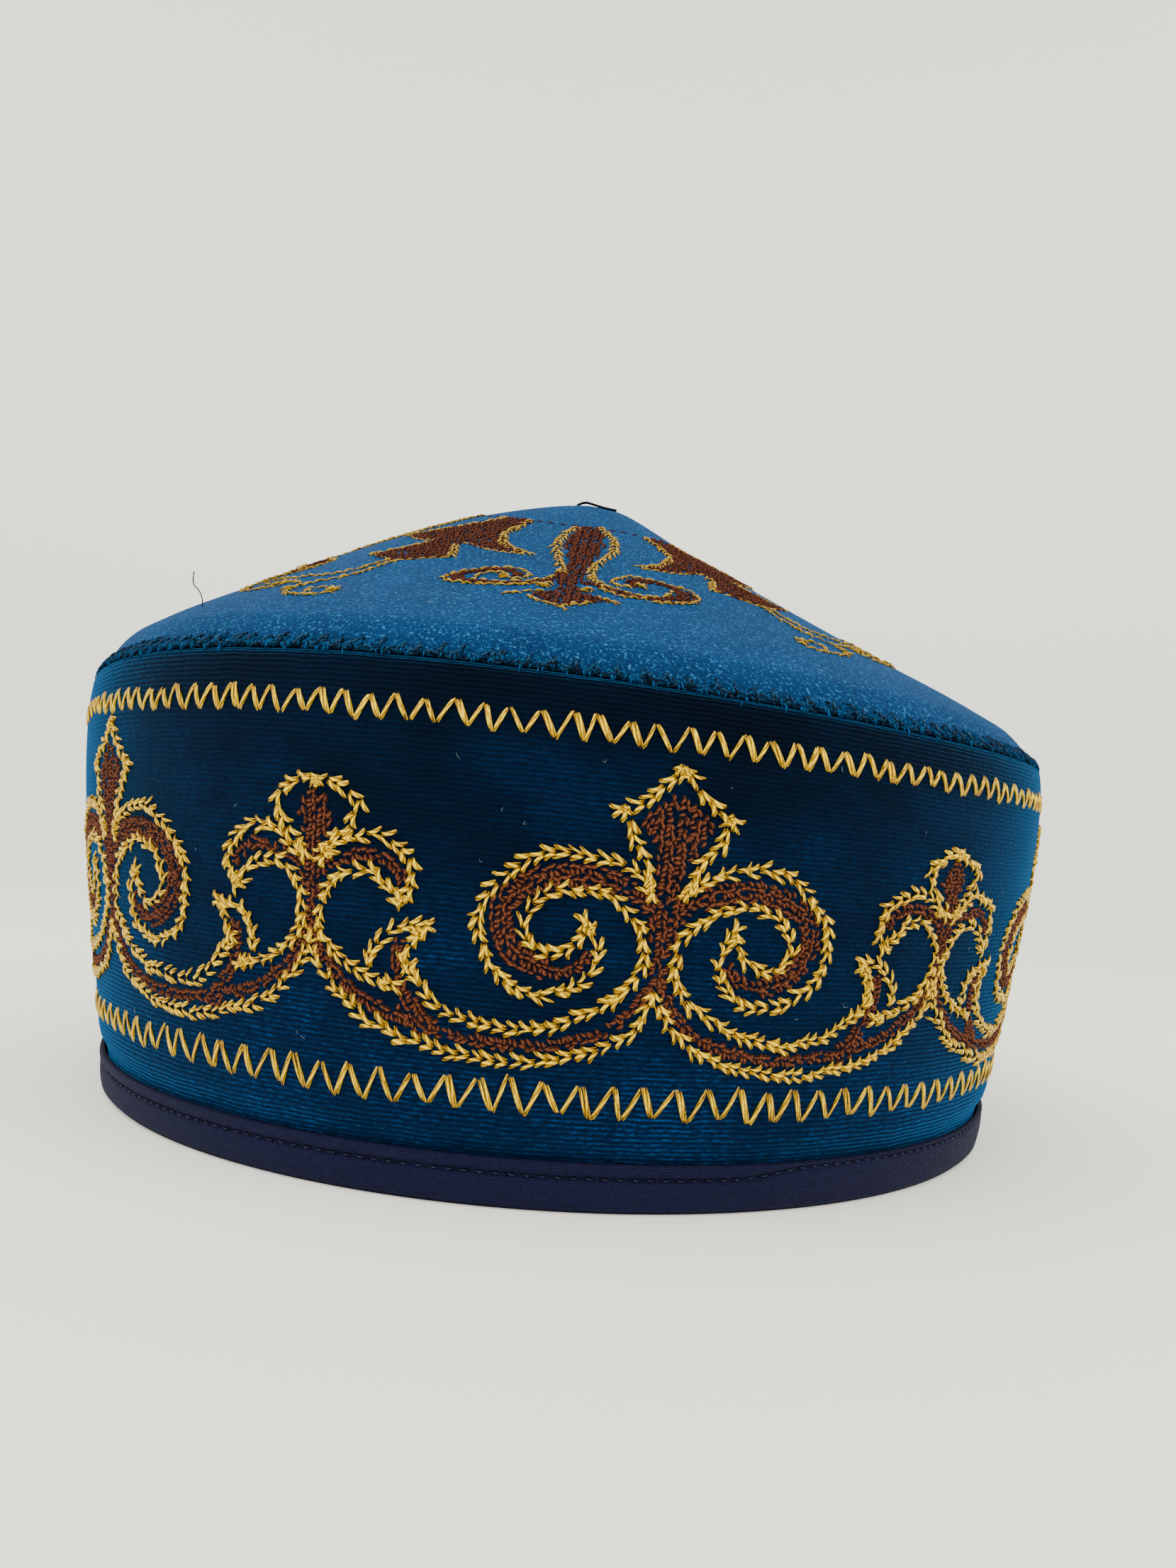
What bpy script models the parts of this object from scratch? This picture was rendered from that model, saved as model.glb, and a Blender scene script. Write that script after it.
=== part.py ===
"""An embroidered skullcap: a stiff side band, a low conical crown and a bound hem.

Metres, +Z up. The hem stands on Z = 0 and is centred on the origin; the front of the cap
faces -Y. The cap is turned about +Z, and then given the small unevenness of a worn one:
a rim that ripples up and down, an apex that leans, and a crown that is fuller on one side.
"""

import math

import bpy

# Driving dimensions
HEM_RADIUS = 0.094
WALL_TOP_RADIUS = 0.1059
RIM_RADIUS = 0.1015
BAND_HEIGHT = 0.079
ROUNDING_START = 0.047
CROWN_RISE = 0.0526
APEX_ROUNDNESS = 0.04
APEX_LEAN_X = 0.0018
APEX_LEAN_Y = -0.0073

# Unevenness of the worn cap
RIM_RIPPLE = 0.0029
RIPPLE_FADE_POWER = 3.5
SIDE_FULLNESS = 0.0113
SIDE_FULLNESS_ANGLE = math.radians(175)
SIDE_FULLNESS_POWER = 4.0
SWELL_POWER = 0.8
FULLNESS_OUTWARD = 0.5
FULLNESS_UPWARD = 0.86

# Cloth
BAND_THICKNESS = 0.0026
CROWN_THICKNESS = 0.002
TAPE_THICKNESS = 0.001
BINDING_HEIGHT = 0.0075
BINDING_CORNER = 0.0005
SEWN_GAP = 0.0003
TUCK = TAPE_THICKNESS + SEWN_GAP
TUCK_FADE = 0.004
RIM_SEAM_DEPTH = 0.0018
RIM_SEAM_LEAN = 0.001

# Fineness of the solids
STEPS_ROUND = 72
CROWN_RINGS = 13
MERGE_DISTANCE = 0.00001

NAVY_VELVET = (0.012, 0.085, 0.23)
BRIGHT_VELVET = (0.02, 0.14, 0.38)
NAVY_TWILL = (0.013, 0.015, 0.07)


def clear_scene():
    for thing in list(bpy.data.objects):
        bpy.data.objects.remove(thing, do_unlink=True)


def cloth_material(name, colour, roughness):
    material = bpy.data.materials.new(name)
    material.use_nodes = True
    shader = material.node_tree.nodes["Principled BSDF"]
    shader.inputs["Base Color"].default_value = (*colour, 1.0)
    shader.inputs["Roughness"].default_value = roughness
    shader.inputs["Metallic"].default_value = 0.0
    return material


def smooth_step(share):
    share = min(max(share, 0.0), 1.0)
    return share * share * (3.0 - 2.0 * share)


def flare(height):
    """Radius of the straight, outward leaning side of the cap."""
    return HEM_RADIUS + (WALL_TOP_RADIUS - HEM_RADIUS) * height / BAND_HEIGHT


def wall_radius(height):
    """Outer radius of the side: the flare, drawn in at the top by a quarter of an ellipse."""
    share = min(max((height - ROUNDING_START) / (BAND_HEIGHT - ROUNDING_START), 0.0), 1.0)
    return flare(height) - (WALL_TOP_RADIUS - RIM_RADIUS) * (1.0 - math.sqrt(1.0 - share * share))


def band_radius(height):
    """Outer radius of the band, which lies deeper where the binding covers it."""
    above_binding = height - BINDING_HEIGHT - SEWN_GAP
    return wall_radius(height) - TUCK * (1.0 - smooth_step(above_binding / TUCK_FADE))


def band_profile():
    """Closed section of the band: down its outer side, up its inner side, to the rim seam."""
    bottom = TAPE_THICKNESS + SEWN_GAP
    binding_top = BINDING_HEIGHT + SEWN_GAP
    rounded = BAND_HEIGHT - ROUNDING_START
    outer = [ROUNDING_START + rounded * math.sin(math.radians(angle)) for angle in (90, 75, 60, 40, 20, 0)]
    outer += [ROUNDING_START * share for share in (0.72, 0.46)]
    outer += [binding_top + TUCK_FADE, binding_top + TUCK_FADE / 2, binding_top, bottom]
    inner = [bottom, binding_top, binding_top + TUCK_FADE, ROUNDING_START * 0.6, ROUNDING_START]
    inner += [ROUNDING_START + rounded * share for share in (0.45, 0.8)]
    section = [(band_radius(height), height) for height in outer]
    section += [(band_radius(height) - BAND_THICKNESS, height) for height in inner]
    section.append((RIM_RADIUS - RIM_SEAM_LEAN, BAND_HEIGHT - RIM_SEAM_DEPTH))
    return section


def crown_height(share):
    """Height of the crown's outer side at a share of the rim radius: a cone with a round tip."""
    tip = APEX_ROUNDNESS
    fall = (math.hypot(share, tip) - tip) / (math.hypot(1.0, tip) - tip)
    return BAND_HEIGHT + CROWN_RISE * (1.0 - fall)


def crown_profile():
    """Open section of the crown's outer side, from the apex down to just inside the rim."""
    rim = 1.0 - SEWN_GAP / RIM_RADIUS
    shares = [rim * ring / CROWN_RINGS for ring in range(CROWN_RINGS + 1)]
    return [(share * RIM_RADIUS, crown_height(share)) for share in shares]


def binding_profile():
    """Closed section of the tape folded over the hem: a U whose legs hold the band."""
    top, bottom, corner = BINDING_HEIGHT, TAPE_THICKNESS, BINDING_CORNER
    inset = 2 * TUCK + BAND_THICKNESS
    outside = [(flare(top), top), (flare(top / 2), top / 2), (flare(corner), corner)]
    underside = [(flare(0.0) - corner, 0.0), (flare(0.0) - inset + corner, 0.0)]
    inside = [(flare(corner) - inset, corner), (flare(top) - inset, top)]
    channel = [(flare(top) - inset + TAPE_THICKNESS, top), (flare(bottom) - inset + TAPE_THICKNESS, bottom)]
    channel += [(flare(bottom) - TAPE_THICKNESS, bottom), (flare(top) - TAPE_THICKNESS, top)]
    return outside + underside + inside + channel


def turned_mesh(name, section, closed):
    """A mesh made by turning a section about Z with a Screw modifier."""
    count = len(section)
    edges = [(index, index + 1) for index in range(count - 1)]
    if closed:
        edges.append((count - 1, 0))
    outline = bpy.data.meshes.new(name + "_section")
    outline.from_pydata([(radius, 0.0, height) for radius, height in section], edges, [])
    lathe = bpy.data.objects.new(name + "_lathe", outline)
    bpy.context.scene.collection.objects.link(lathe)
    screw = lathe.modifiers.new("Turn", "SCREW")
    screw.steps = STEPS_ROUND
    screw.render_steps = STEPS_ROUND
    screw.use_merge_vertices = True
    screw.merge_threshold = MERGE_DISTANCE
    evaluated = lathe.evaluated_get(bpy.context.evaluated_depsgraph_get())
    mesh = bpy.data.meshes.new_from_object(evaluated)
    mesh.name = name
    bpy.data.objects.remove(lathe, do_unlink=True)
    bpy.data.meshes.remove(outline)
    return mesh


def ripple(angle):
    """How far the rim rises or falls at an angle round the cap."""
    return RIM_RIPPLE * math.sin(2.0 * angle)


def warp_band(mesh):
    """The band's rim ripples; the ripple fades out towards the hem."""
    for vertex in mesh.vertices:
        angle = math.atan2(vertex.co.y, vertex.co.x)
        vertex.co.z += ripple(angle) * (vertex.co.z / BAND_HEIGHT) ** 2


def warp_crown(mesh):
    """The crown keeps the ripple near its rim, leans to its apex and swells on one side."""
    for vertex in mesh.vertices:
        angle = math.atan2(vertex.co.y, vertex.co.x)
        share = min(math.hypot(vertex.co.x, vertex.co.y) / RIM_RADIUS, 1.0)
        facing = (1.0 + math.cos(angle - SIDE_FULLNESS_ANGLE)) / 2.0
        swell = SIDE_FULLNESS * facing ** SIDE_FULLNESS_POWER * (4.0 * share * (1.0 - share)) ** SWELL_POWER
        vertex.co.x += (1.0 - share) * APEX_LEAN_X + swell * FULLNESS_OUTWARD * math.cos(angle)
        vertex.co.y += (1.0 - share) * APEX_LEAN_Y + swell * FULLNESS_OUTWARD * math.sin(angle)
        vertex.co.z += share ** RIPPLE_FADE_POWER * ripple(angle) + swell * FULLNESS_UPWARD


def add_piece(name, mesh, material, collection):
    mesh.materials.clear()
    mesh.materials.append(material)
    mesh.shade_smooth()
    mesh.set_sharp_from_angle(angle=math.radians(50))
    piece = bpy.data.objects.new(name, mesh)
    collection.objects.link(piece)
    return piece


def make_band(collection):
    mesh = turned_mesh("band", band_profile(), closed=True)
    warp_band(mesh)
    return add_piece("band", mesh, cloth_material("ribbed velvet", NAVY_VELVET, 0.9), collection)


def make_crown(collection):
    mesh = turned_mesh("crown", crown_profile(), closed=False)
    warp_crown(mesh)
    crown = add_piece("crown", mesh, cloth_material("velvet", BRIGHT_VELVET, 0.9), collection)
    wall = crown.modifiers.new("Cloth thickness", "SOLIDIFY")
    wall.thickness = CROWN_THICKNESS
    wall.offset = -1.0
    wall.use_even_offset = True
    return crown


def make_binding(collection):
    mesh = turned_mesh("binding", binding_profile(), closed=True)
    return add_piece("binding", mesh, cloth_material("cotton twill tape", NAVY_TWILL, 0.8), collection)


clear_scene()
skullcap = bpy.data.collections.new("skullcap")
bpy.context.scene.collection.children.link(skullcap)
make_band(skullcap)
make_crown(skullcap)
make_binding(skullcap)
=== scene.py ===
"""The looks of an embroidered velvet skullcap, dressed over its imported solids.

Metres, +Z up. The hem stands on Z = 0, centred on the origin, and the front faces -Y.
Angles run anticlockwise seen from above, so the front is at -90 degrees.
"""

import math

import bmesh
import bpy
import numpy as np
from mathutils import Matrix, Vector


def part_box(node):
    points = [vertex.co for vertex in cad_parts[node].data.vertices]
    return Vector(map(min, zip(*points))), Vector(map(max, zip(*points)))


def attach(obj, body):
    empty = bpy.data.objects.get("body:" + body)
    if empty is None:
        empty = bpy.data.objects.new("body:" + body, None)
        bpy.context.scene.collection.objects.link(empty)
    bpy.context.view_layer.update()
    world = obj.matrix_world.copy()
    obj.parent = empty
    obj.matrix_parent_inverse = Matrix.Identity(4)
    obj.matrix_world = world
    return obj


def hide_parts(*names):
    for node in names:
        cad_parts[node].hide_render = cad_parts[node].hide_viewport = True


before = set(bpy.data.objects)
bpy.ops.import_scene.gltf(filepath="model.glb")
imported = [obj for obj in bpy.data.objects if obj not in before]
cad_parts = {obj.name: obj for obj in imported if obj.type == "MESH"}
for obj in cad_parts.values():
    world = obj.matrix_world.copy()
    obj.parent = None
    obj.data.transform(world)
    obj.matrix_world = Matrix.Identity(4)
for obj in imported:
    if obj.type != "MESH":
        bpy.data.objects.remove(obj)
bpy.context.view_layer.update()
MM = 0.001

# The photograph's standpoint: a wide lens close to the cap, a little above its middle,
# held slightly tilted. The aim and the lens are those that put the hem, the rim and the
# zigzag rows where the photograph has them.
CAMERA_DISTANCE = 0.26139
CAMERA_ELEVATION = 0.205
AIM_ABOVE_CENTRE = math.radians(15.157)
AIM_TO_THE_RIGHT = math.radians(1.127)
CAMERA_ROLL = 0.074
FOCAL_PIXELS = 1534.0
FRAME_LONG_SIDE_PIXELS = 2212.0

pitch = AIM_ABOVE_CENTRE - CAMERA_ELEVATION
forward = np.array([
    math.sin(AIM_TO_THE_RIGHT) * math.cos(pitch),
    math.cos(AIM_TO_THE_RIGHT) * math.cos(pitch),
    math.sin(pitch),
])
level = np.cross(forward, (0.0, 0.0, 1.0))
level /= np.linalg.norm(level)
upright = np.cross(level, forward)
right = math.cos(CAMERA_ROLL) * level + math.sin(CAMERA_ROLL) * upright
upward = math.cos(CAMERA_ROLL) * upright - math.sin(CAMERA_ROLL) * level
lens = bpy.data.cameras.new("camera")
lens.sensor_width = 36.0
lens.lens = FOCAL_PIXELS / FRAME_LONG_SIDE_PIXELS * lens.sensor_width
lens.clip_start = 0.01
camera = bpy.data.objects.new("camera", lens)
bpy.context.scene.collection.objects.link(camera)
place = Matrix((right, upward, -forward)).transposed().to_4x4()
place.translation = (
    0.0,
    -CAMERA_DISTANCE * math.cos(CAMERA_ELEVATION),
    CAMERA_DISTANCE * math.sin(CAMERA_ELEVATION),
)
camera.matrix_world = place
bpy.context.scene.camera = camera


# The ground is one seamless sheet of matt pale paper, a wide dish whose rim curves up into a
# tall wall, so that no horizon shows from any side. The sheet glows by itself, faintly on the
# floor and more strongly up the wall: painted light that brightens the backdrop.
def colour(hex_code):
    """sRGB hex to linear red, green, blue and full alpha."""
    values = [int(hex_code[i:i + 2], 16) / 255.0 for i in (1, 3, 5)]
    return tuple(v / 12.92 if v <= 0.04045 else ((v + 0.055) / 1.055) ** 2.4 for v in values) + (1.0,)


def fill(tree, made, links):
    """Fill a node's sockets, by name or number, with values, sockets or nodes' first outputs."""
    for socket, value in links.items():
        if isinstance(value, bpy.types.Node):
            value = value.outputs[0]
        if isinstance(value, bpy.types.NodeSocket):
            tree.links.new(value, made.inputs[socket])
        else:
            made.inputs[socket].default_value = value


def node(tree, kind, links=None, **settings):
    """One shader node: settings go to its properties, links fill its sockets."""
    made = tree.nodes.new("ShaderNode" + kind)
    for key, value in settings.items():
        setattr(made, key, value)
    fill(tree, made, links or {})
    return made


def new_material(name):
    """A material with an empty Principled shader; gives the material, its tree and the shader."""
    material = bpy.data.materials.new(name)
    material.use_nodes = True
    return material, material.node_tree, material.node_tree.nodes["Principled BSDF"]


def quad_mesh(name, points, quads, material, layer, uv=None):
    """A smooth mesh of points and of four corners to a face. uv holds two values a corner."""
    mesh = bpy.data.meshes.new(name)
    mesh.vertices.add(points.size // 3)
    mesh.vertices.foreach_set("co", points.reshape(-1).astype(np.float32))
    mesh.loops.add(quads.size)
    mesh.loops.foreach_set("vertex_index", quads.reshape(-1).astype(np.int32))
    mesh.polygons.add(len(quads))
    mesh.polygons.foreach_set("loop_start", np.arange(0, quads.size, 4, dtype=np.int32))
    if uv is not None:
        mesh.uv_layers.new(name=layer).uv.foreach_set("vector", uv.reshape(-1).astype(np.float32))
    mesh.update(calc_edges=True)
    mesh.polygons.foreach_set("use_smooth", np.ones(len(quads), bool))
    mesh.materials.append(material)
    piece = bpy.data.objects.new(name, mesh)
    bpy.context.scene.collection.objects.link(piece)
    return piece


def grid_mesh(name, points, material, wrap_rows=True, wrap_columns=False, u=None, v=None):
    """Quads over points[row, column], in the order that makes row x column face out.

    A wrapped direction joins its last line to its first. u and v give the UV value of each
    line, one more than there are lines where the direction wraps.
    """
    rows, columns = points.shape[:2]
    i, j = np.meshgrid(
        np.arange(rows if wrap_rows else rows - 1),
        np.arange(columns if wrap_columns else columns - 1),
        indexing="ij",
    )
    corners = [(i, j), (i + 1, j), (i + 1, j + 1), (i, j + 1)]
    quads = np.stack([(a % rows) * columns + b % columns for a, b in corners], -1).reshape(-1, 4)
    uv = None
    if u is not None:
        uv = np.stack([np.stack([u[a], v[b]], -1) for a, b in corners], -2)
    return quad_mesh(name, points, quads, material, "cloth", uv)


PAPER_FLAT_RADIUS = 0.7
PAPER_RIM_RADIUS = 1.7
PAPER_WALL_TOP = 2.6
PAPER_COLOUR = "#E9E9E2"
PAPER_FLOOR_PAINTED_GLOW = 0.27
PAPER_WALL_PAINTED_GLOW = 0.74
PAPER_PAINTED_GLOW_HEIGHT = 0.7
paper, tree, shader = new_material("matt pale paper")
spot = node(tree, "TexCoord").outputs["Object"]
fibre = node(tree, "TexNoise", {"Vector": spot, "Scale": 900.0, "Detail": 3.0})
rise = node(tree, "SeparateXYZ", {"Vector": spot})
# Painted glow: the paper's emission grows with height, from the floor's strength to the wall's.
lit = node(tree, "MapRange", {"Value": rise.outputs["Z"], "From Max": PAPER_PAINTED_GLOW_HEIGHT,
                              "To Min": PAPER_FLOOR_PAINTED_GLOW, "To Max": PAPER_WALL_PAINTED_GLOW})
bump = node(tree, "Bump", {"Height": fibre, "Strength": 0.08, "Distance": 0.0003})
fill(tree, shader, {"Base Color": colour(PAPER_COLOUR), "Roughness": 0.95, "Normal": bump,
                    "Emission Color": colour(PAPER_COLOUR), "Emission Strength": lit})
bend = np.radians(np.linspace(0.0, 90.0, 25))
curve_radius = PAPER_RIM_RADIUS - PAPER_FLAT_RADIUS
paper_radius = np.concatenate([
    [1e-5, 0.3], PAPER_FLAT_RADIUS + curve_radius * np.sin(bend), [PAPER_RIM_RADIUS]])
paper_height = np.concatenate([[0.0, 0.0], curve_radius * (1.0 - np.cos(bend)), [PAPER_WALL_TOP]])
paper_turn = np.radians(np.arange(0, 360, 3))
ground = grid_mesh("ground", np.stack(np.broadcast_arrays(
    np.cos(paper_turn)[:, None] * paper_radius,
    np.sin(paper_turn)[:, None] * paper_radius,
    paper_height[None, :] + 0.0 * paper_turn[:, None],
), -1)[::-1], paper)

# Soft daylight: a wide window in front and above, a weaker one at each side, and bright sky.
SUNLESS_SKY = "#EEF1F4"
world = bpy.data.worlds.new("pale sky")
world.use_nodes = True
world.node_tree.nodes["Background"].inputs["Color"].default_value = colour(SUNLESS_SKY)
world.node_tree.nodes["Background"].inputs["Strength"].default_value = 0.75
bpy.context.scene.world = world
for name, position, size, power in (
    ("window_above", (-0.15, -0.25, 0.95), 0.9, 9.0),
    ("window_right", (0.75, -0.35, 0.55), 0.6, 3.2),
    ("window_left", (-0.8, -0.3, 0.5), 0.6, 2.2),
):
    lamp = bpy.data.lights.new(name, "AREA")
    lamp.size = size
    lamp.energy = power
    light = bpy.data.objects.new(name, lamp)
    bpy.context.scene.collection.objects.link(light)
    away = np.array(position) - (0.0, 0.0, 0.07)
    away /= np.linalg.norm(away)
    across = np.cross((0.0, 0.0, 1.0), away)
    across /= np.linalg.norm(across)
    light.matrix_world = Matrix((across, np.cross(away, across), away)).transposed().to_4x4()
    light.matrix_world.translation = position


# The side band is a stiffened ring of ribbed velvet, cut as one long strip that leans
# outwards, and rolled in at the top where it is sewn to the crown. Its sizes are those of
# the solid that it covers.
HEM_RADIUS = 0.094
WALL_TOP_RADIUS = 0.1059
RIM_RADIUS = 0.1015
BAND_HEIGHT = 0.079
ROUNDING_START = 0.047
RIM_RIPPLE = 0.0029
BAND_THICKNESS = 0.0026
TAPE_THICKNESS = 0.001
SEWN_GAP = 0.0003
BINDING_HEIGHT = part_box("binding")[1].z
TUCK = TAPE_THICKNESS + SEWN_GAP
TUCK_FADE = 0.004
STEPS_ROUND = 480
SEAM_DIP = 0.0011
BAND_DIP_REACH = 0.0016
random = np.random.default_rng(41)


def smooth_step(share):
    """3x^2 - 2x^3 between 0 and 1, flat outside."""
    share = np.clip(share, 0.0, 1.0)
    return share * share * (3.0 - 2.0 * share)


def flare(height):
    """Radius of the straight, outward leaning side: it grows evenly from hem to top."""
    return HEM_RADIUS + (WALL_TOP_RADIUS - HEM_RADIUS) * height / BAND_HEIGHT


def wall_radius(height):
    """The flare, drawn in above the rounding's start by a quarter of an ellipse."""
    share = np.clip((height - ROUNDING_START) / (BAND_HEIGHT - ROUNDING_START), 0.0, 1.0)
    return flare(height) - (WALL_TOP_RADIUS - RIM_RADIUS) * (1.0 - np.sqrt(1.0 - share * share))


def ripple(angle):
    """The rim rises and falls twice round the cap, as a sine of twice the angle."""
    return RIM_RIPPLE * np.sin(2.0 * angle)


def turned(angle, radius, height):
    """A point at a radius and height, turned to an angle about the cap's axis."""
    return np.stack(np.broadcast_arrays(radius * np.cos(angle), radius * np.sin(angle), height), -1)


def band_point(angle, height, inset=0.0):
    """Band surface: wall radius less the tuck under the tape, lifted by the rim's ripple times
    the square of the height's share."""
    above_tape = height - BINDING_HEIGHT - SEWN_GAP
    radius = wall_radius(height) - TUCK * (1.0 - smooth_step(above_tape / TUCK_FADE)) - inset
    return turned(angle, radius, height + ripple(angle) * (height / BAND_HEIGHT) ** 2)


def sewn_dip(distance, reach):
    """1 at the seam, falling as a bell curve with the distance from it."""
    return np.exp(-(distance / reach) ** 2)


# Ribbed cotton velvet: fine horizontal ribs, broken and fuzzy, of a short dense pile that
# drinks the light where it faces the eye and glows blue where it is seen edge on. Tufts 1.4 mm
# long and 0.5 mm high break the ribs, and the nap is brushed in patches of 2 to 3 cm.
RIB_PITCH = 0.00077
VELVET_DEEP = "#000816"
VELVET_MID = "#011B3C"
VELVET_BLUE = "#084482"
# Near-black blue, painted on as shade over the top of the band.
VELVET_PAINTED_RIM_SHADE = "#00040C"
VELVET_SHEEN = "#1278C0"
ribbed_velvet, tree, shader = new_material("ribbed cotton velvet")
cloth = node(tree, "UVMap", uv_map="cloth")
apart = node(tree, "SeparateXYZ", {"Vector": cloth})
drift = node(tree, "TexNoise", {"Vector": cloth, "Scale": 160.0, "Detail": 2.0})
tuft_size = node(tree, "Mapping", {"Vector": cloth, "Scale": (700.0, 1900.0, 1.0)})
tuft = node(tree, "TexNoise", {"Vector": tuft_size, "Scale": 1.0, "Detail": 3.0, "Roughness": 0.7})
bent = node(tree, "Math", {0: drift, 1: 0.0007, 2: apart.outputs["Y"]}, operation="MULTIPLY_ADD")
phase = node(tree, "Math", {0: bent, 1: 2.0 * math.pi / RIB_PITCH}, operation="MULTIPLY")
wave = node(tree, "Math", {0: phase}, operation="SINE")
rib = node(tree, "Math", {0: wave, 1: 0.5, 2: 0.5}, operation="MULTIPLY_ADD")
nap_size = node(tree, "Mapping", {"Vector": cloth, "Scale": (30.0, 44.0, 1.0)})
nap = node(tree, "TexNoise", {"Vector": nap_size, "Scale": 1.0, "Detail": 5.0, "Roughness": 0.65})
brushed = node(tree, "MapRange", {"Value": nap, "From Min": 0.36, "From Max": 0.68},
               interpolation_type="SMOOTHSTEP")
# Painted light: the pile is made lighter towards the bottom of the band, from 62 mm down to 8 mm; the
# brushed nap patches are added to it.
painted_light_low = node(tree, "MapRange", {"Value": apart.outputs["Y"], "From Min": 0.062, "From Max": 0.008,
                                "To Min": 0.04, "To Max": 0.36})
stand = node(tree, "Math", {0: brushed, 1: 0.3, 2: painted_light_low}, operation="MULTIPLY_ADD")
fuzz = node(tree, "MapRange", {"Value": tuft, "From Min": 0.35, "From Max": 0.72,
                               "To Min": 0.35, "To Max": 1.6})
ribbed = node(tree, "Math", {0: rib, 1: 0.7, 2: 0.34}, operation="MULTIPLY_ADD")
broken = node(tree, "Math", {0: ribbed, 1: fuzz}, operation="MULTIPLY")
glow = node(tree, "Math", {0: broken, 1: stand}, operation="MULTIPLY")
pile = node(tree, "ValToRGB", {"Fac": glow})
pile.color_ramp.elements[0].color = colour(VELVET_DEEP)
pile.color_ramp.elements[1].color = colour(VELVET_BLUE)
pile.color_ramp.elements.new(0.4).color = colour(VELVET_MID)
# Painted shade: from 64 mm up to the seam, the band's colour is darkened towards near-black, under the
# crown's edge.
painted_rim_shade = node(tree, "MapRange", {"Value": apart.outputs["Y"], "From Min": 0.064, "From Max": 0.0745,
                                   "To Max": 0.65}, interpolation_type="SMOOTHSTEP")
shaded = node(tree, "Mix", {"Factor": painted_rim_shade, "A": pile, "B": colour(VELVET_PAINTED_RIM_SHADE)}, data_type="RGBA")
relief = node(tree, "Math", {0: tuft, 1: 1.3, 2: rib}, operation="MULTIPLY_ADD")
bump = node(tree, "Bump", {"Height": relief, "Strength": 0.8, "Distance": 0.0002})
fill(tree, shader, {"Base Color": shaded.outputs["Result"], "Roughness": 0.9, "Specular IOR Level": 0.04,
                    "Sheen Weight": 0.9, "Sheen Roughness": 0.3, "Sheen Tint": colour(VELVET_SHEEN),
                    "Normal": bump})

turn = np.linspace(-math.pi, math.pi, STEPS_ROUND, endpoint=False)[:, None]
outer_rows = np.concatenate([
    np.linspace(TUCK, BINDING_HEIGHT + SEWN_GAP, 5, endpoint=False),
    np.linspace(BINDING_HEIGHT + SEWN_GAP, ROUNDING_START, 26, endpoint=False),
    ROUNDING_START + (BAND_HEIGHT - ROUNDING_START) * np.sin(np.radians(np.linspace(0.0, 90.0, 40))),
])
inner_rows = np.array([0.075, 0.066, 0.056, 0.047, 0.035, 0.023, 0.0118, 0.0078, TUCK])
outside = band_point(turn, outer_rows[None, :])
to_seam = np.hypot(BAND_HEIGHT - outer_rows, RIM_RADIUS - wall_radius(outer_rows))
outside[..., 2] -= SEAM_DIP * sewn_dip(to_seam, BAND_DIP_REACH)
inside = band_point(turn, inner_rows[None, :], BAND_THICKNESS)
band_velvet = grid_mesh(
    "band_velvet", np.concatenate([outside, inside], 1), ribbed_velvet, wrap_columns=True,
    u=np.linspace(0.0, 2.0 * math.pi * 0.1, STEPS_ROUND + 1),
    v=np.concatenate([outer_rows, inner_rows, [TUCK]]))
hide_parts("band")
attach(band_velvet, "root")


# The crown is a low cone of smooth velvet, eased to the band's rim and drawn up to a soft
# point. It leans forward and stands fuller on the left, a little less than the solid does.
CROWN_RISE = 0.0526
APEX_ROUNDNESS = 0.04
APEX_LEAN_X = 0.0018
APEX_LEAN_Y = -0.0073
RIPPLE_FADE_POWER = 3.5
SIDE_FULLNESS = 0.0095
SIDE_FULLNESS_ANGLE = math.radians(175)
SIDE_FULLNESS_POWER = 4.0
SWELL_POWER = 0.8
FULLNESS_OUTWARD = 0.5
FULLNESS_UPWARD = 0.86
CROWN_THICKNESS = 0.002
RIM_ROLL = 0.0022
PEAK_SHIFT = 0.0032
PEAK_REACH = 0.28
ROLL_TOP = 0.305
CROWN_DIP_REACH = 0.0018
BEAD_RISE = 0.0005
BEAD_PLACE = 0.005
BEAD_REACH = 0.003


def crown_point(angle, share):
    """Crown surface at a share s of the rim radius: a cone with a hyperbola for its tip, plus the
    rim's ripple times a power of s, a lean growing to the apex, a swell that is greatest half
    way up on the fuller side, the pile's soft roll s^6 - s^14 inside the rim, over its own
    greatest value, and a shift of the peak to the right."""
    tip = APEX_ROUNDNESS
    fall = (np.hypot(share, tip) - tip) / (math.hypot(1.0, tip) - tip)
    facing = (1.0 + np.cos(angle - SIDE_FULLNESS_ANGLE)) / 2.0
    arch = np.clip(4.0 * share * (1.0 - share), 0.0, None)
    swell = SIDE_FULLNESS * facing ** SIDE_FULLNESS_POWER * arch ** SWELL_POWER
    reach = share * RIM_RADIUS + swell * FULLNESS_OUTWARD
    height = BAND_HEIGHT + CROWN_RISE * (1.0 - fall) + share ** RIPPLE_FADE_POWER * ripple(angle)
    height = height + RIM_ROLL * (share ** 6 - share ** 14) / ROLL_TOP
    lean = 1.0 - share
    peak = PEAK_SHIFT * (1.0 - smooth_step(share / PEAK_REACH))
    return np.stack(np.broadcast_arrays(
        reach * np.cos(angle) + lean * APEX_LEAN_X + peak,
        reach * np.sin(angle) + lean * APEX_LEAN_Y,
        height + swell * FULLNESS_UPWARD,
    ), -1)


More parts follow.
